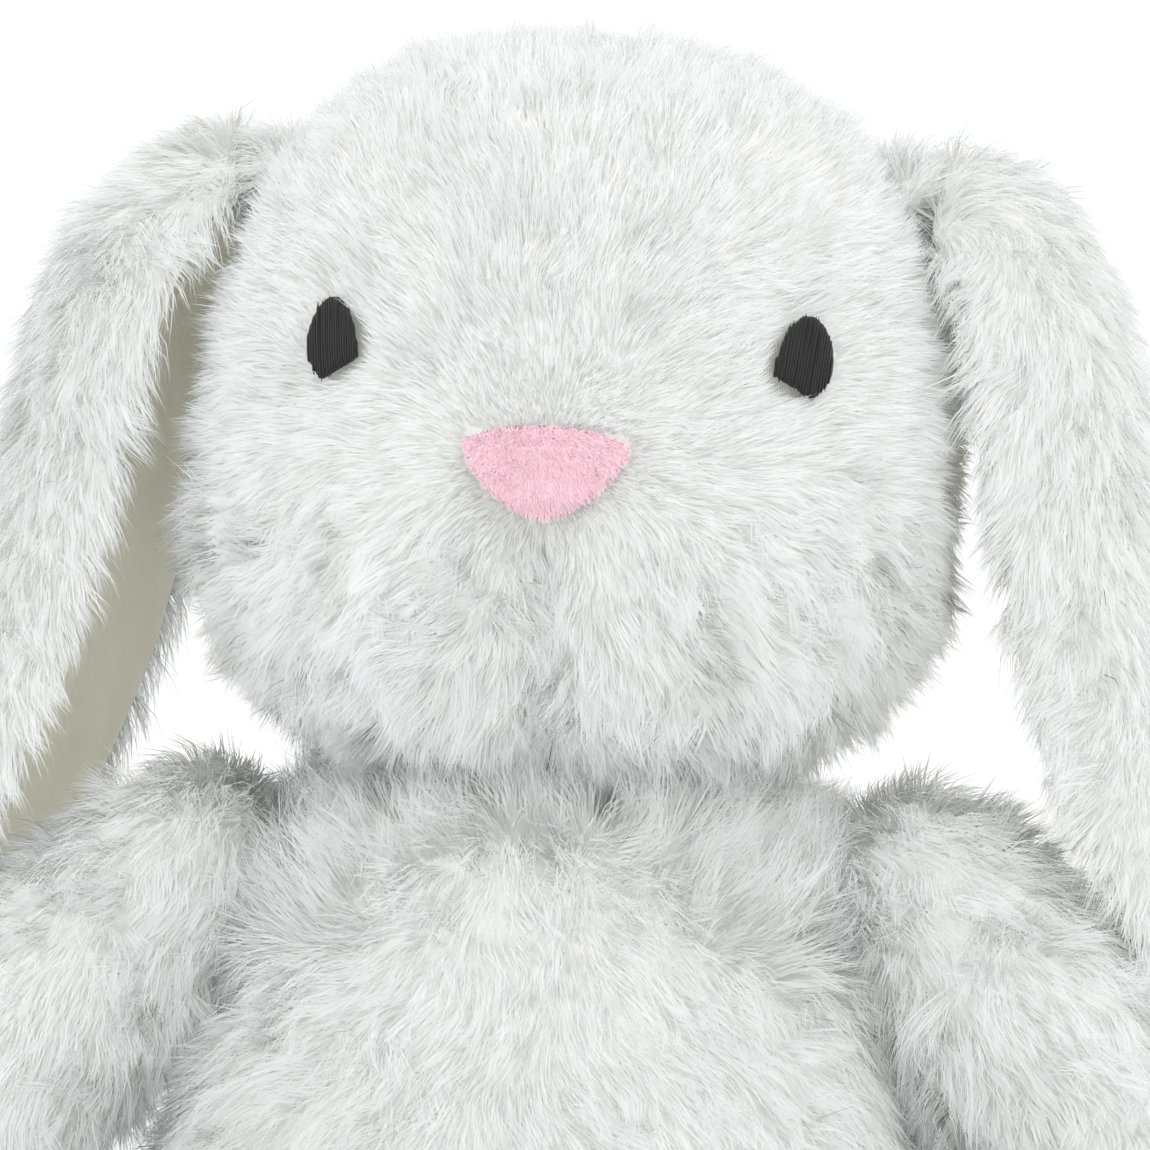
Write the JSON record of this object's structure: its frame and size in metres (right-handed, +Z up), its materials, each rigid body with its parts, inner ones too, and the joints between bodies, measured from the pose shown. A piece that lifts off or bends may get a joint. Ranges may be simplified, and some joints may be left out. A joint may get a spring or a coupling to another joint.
{
  "type": "plush rabbit",
  "caption": "Sitting plush rabbit with long-pile fur, lop ears with a smooth lining, embroidered eyes and nose, and sewn limbs that flex at their seams.",
  "frame": {"origin": "middle of the flat seat, on the surface that the rabbit sits on", "axes": "+Z up; the rabbit faces -Y and its own left is +X"},
  "size_m": [0.2753, 0.2263, 0.272],
  "materials": {
    "fur": "long soft pile, matt",
    "ear_lining": "short smooth pile",
    "nose_fabric": "short ribbed pile",
    "eye_thread": "matt embroidery",
    "fibre": "loose polyester fibre",
    "pouch_cloth": "plain woven cotton",
    "sewing_thread": "twisted thread",
    "label_satin": "satin ribbon"
  },
  "bodies": {
    "torso": {"torso_front_left": "fur", "torso_back_left": "fur", "torso_front_right": "fur", "torso_back_right": "fur", "seat_base": "fur", "torso_stuffing": "fibre", "pellet_pouch": "pouch_cloth", "neck_gathering_thread": "sewing_thread", "back_closing_stitches": "sewing_thread", "care_label": "label_satin", "tail_cover": "fur", "tail_stuffing": "fibre"},
    "neck": {"neck_stuffing": "fibre"},
    "head": {"face_left": "fur", "head_back_left": "fur", "face_right": "fur", "head_back_right": "fur", "eye_left": "eye_thread", "eye_right": "eye_thread", "nose": "nose_fabric", "head_stuffing": "fibre"},
    "ear_root_left": {"ear_root_left": "fur"},
    "ear_left": {"ear_outer_left": "fur", "ear_lining_left": "ear_lining"},
    "arm_left": {"arm_front_left": "fur", "arm_back_left": "fur", "arm_stuffing_left": "fibre"},
    "leg_left": {"leg_upper_left": "fur", "leg_lower_left": "fur", "foot_sole_left": "fur", "leg_stuffing_left": "fibre"},
    "ear_root_right": {"ear_root_right": "fur"},
    "ear_right": {"ear_outer_right": "fur", "ear_lining_right": "ear_lining"},
    "arm_right": {"arm_front_right": "fur", "arm_back_right": "fur", "arm_stuffing_right": "fibre"},
    "leg_right": {"leg_upper_right": "fur", "leg_lower_right": "fur", "foot_sole_right": "fur", "leg_stuffing_right": "fibre"}
  },
  "joints": [
    {"name": "head_turn", "type": "hinge", "parent": "torso", "child": "neck", "pos_m": [0, 0, 0.153], "axis": [0, 0, 1], "range_deg": [-25, 25], "stiffness_Nm_per_rad": 0.6},
    {"name": "head_nod", "type": "hinge", "parent": "neck", "child": "head", "pos_m": [0, 0, 0.153], "axis": [1, 0, 0], "range_deg": [-12, 12], "stiffness_Nm_per_rad": 1.2},
    {"name": "ear_left_lift", "type": "hinge", "parent": "head", "child": "ear_root_left", "pos_m": [0.053, 0.01, 0.2495], "axis": [0, -1, 0], "range_deg": [0, 70], "stiffness_Nm_per_rad": 0.12},
    {"name": "ear_left_swing", "type": "hinge", "parent": "ear_root_left", "child": "ear_left", "pos_m": [0.053, 0.01, 0.2495], "axis": [1, 0, 0], "range_deg": [-10, 25], "stiffness_Nm_per_rad": 0.12},
    {"name": "arm_left_raise", "type": "hinge", "parent": "torso", "child": "arm_left", "pos_m": [0.05, -0.002, 0.147], "axis": [-1, 0, 0], "range_deg": [-15, 60], "stiffness_Nm_per_rad": 0.12},
    {"name": "leg_left_lift", "type": "hinge", "parent": "torso", "child": "leg_left", "pos_m": [0.041, -0.04, 0.024], "axis": [-1, 0, 0], "range_deg": [0, 30], "stiffness_Nm_per_rad": 0.3},
    {"name": "ear_right_lift", "type": "hinge", "parent": "head", "child": "ear_root_right", "pos_m": [-0.053, 0.01, 0.2495], "axis": [0, 1, 0], "range_deg": [0, 70], "stiffness_Nm_per_rad": 0.12},
    {"name": "ear_right_swing", "type": "hinge", "parent": "ear_root_right", "child": "ear_right", "pos_m": [-0.053, 0.01, 0.2495], "axis": [1, 0, 0], "range_deg": [-10, 25], "stiffness_Nm_per_rad": 0.12},
    {"name": "arm_right_raise", "type": "hinge", "parent": "torso", "child": "arm_right", "pos_m": [-0.05, -0.002, 0.147], "axis": [-1, 0, 0], "range_deg": [-15, 60], "stiffness_Nm_per_rad": 0.12},
    {"name": "leg_right_lift", "type": "hinge", "parent": "torso", "child": "leg_right", "pos_m": [-0.041, -0.04, 0.024], "axis": [-1, 0, 0], "range_deg": [0, 30], "stiffness_Nm_per_rad": 0.3}
  ]
}
